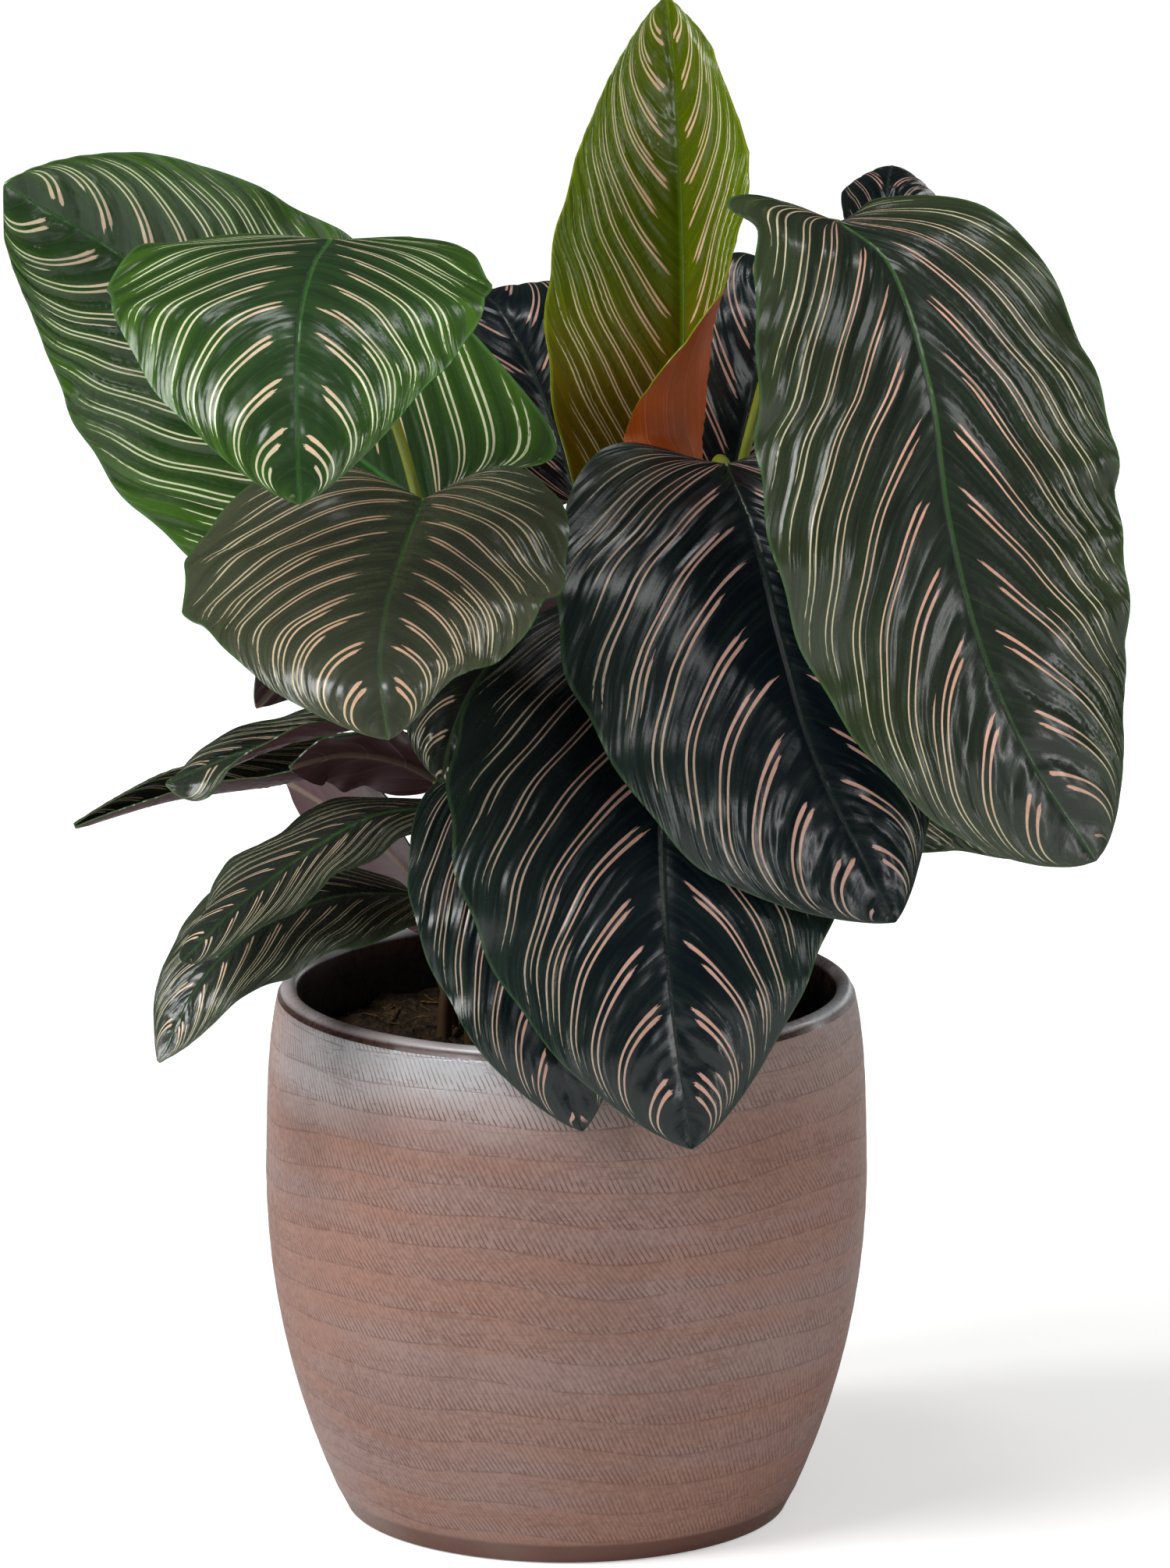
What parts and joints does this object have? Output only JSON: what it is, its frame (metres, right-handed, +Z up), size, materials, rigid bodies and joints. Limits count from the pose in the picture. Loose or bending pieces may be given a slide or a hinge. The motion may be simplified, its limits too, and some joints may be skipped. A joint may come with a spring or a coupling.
{
  "type": "potted pinstripe calathea",
  "caption": "Broad dark striped leaves on long stalks, growing from soil in a combed ceramic cover pot with a plain foot.",
  "frame": {"origin": "centre of the pot's flat bottom, on the surface that it stands on", "axes": "+Z up; -Y towards the plant's front; +X to its right, seen from the front"},
  "size_m": [0.3981, 0.366, 0.5502],
  "materials": {
    "pot_glaze": "combed stoneware, mauve brown with terracotta in the grooves and a grey glaze sheen",
    "soil": "fibrous dark potting mix",
    "dark_leaf": "glossy blackish green with pink to cream pinstripes, purple brown below",
    "green_leaf": "glossy mid green with cream pinstripes",
    "new_leaf": "glossy yellow green with pink pinstripes, orange below",
    "stalk": "smooth green to reddish brown"
  },
  "bodies": {
    "root": {"pot": "pot_glaze", "soil": "soil", "leaf_back_left": "green_leaf", "stalk_back_left": "stalk", "leaf_upper_left": "green_leaf", "stalk_upper_left": "stalk", "leaf_lower_left": "dark_leaf", "stalk_lower_left": "stalk", "leaf_centre": "dark_leaf", "stalk_centre": "stalk", "leaf_front_hanging": "dark_leaf", "stalk_front_hanging": "stalk", "leaf_front_low": "dark_leaf", "stalk_front_low": "stalk", "leaf_new_upright": "new_leaf", "stalk_new_upright": "stalk", "leaf_large_right": "dark_leaf", "stalk_large_right": "stalk", "leaf_behind_right": "dark_leaf", "stalk_behind_right": "stalk", "leaf_low_right": "dark_leaf", "stalk_low_right": "stalk", "leaf_behind_new": "dark_leaf", "stalk_behind_new": "stalk", "leaf_behind_centre": "dark_leaf", "stalk_behind_centre": "stalk", "leaf_left_rolled": "dark_leaf", "stalk_left_rolled": "stalk", "leaf_left_small": "dark_leaf", "stalk_left_small": "stalk", "leaf_left_drooping": "dark_leaf", "stalk_left_drooping": "stalk", "leaf_left_lowest": "dark_leaf", "stalk_left_lowest": "stalk", "leaf_left_underside": "dark_leaf", "stalk_left_underside": "stalk", "leaf_left_tip": "dark_leaf", "stalk_left_tip": "stalk", "leaf_inner_left": "dark_leaf", "stalk_inner_left": "stalk", "leaf_inner_front": "dark_leaf", "stalk_inner_front": "stalk", "leaf_side_right": "dark_leaf", "stalk_side_right": "stalk", "leaf_side_left": "dark_leaf", "stalk_side_left": "stalk", "leaf_rear_left": "dark_leaf", "stalk_rear_left": "stalk", "leaf_rear_middle": "dark_leaf", "stalk_rear_middle": "stalk", "leaf_rear_right": "dark_leaf", "stalk_rear_right": "stalk"}
  },
  "joints": []
}
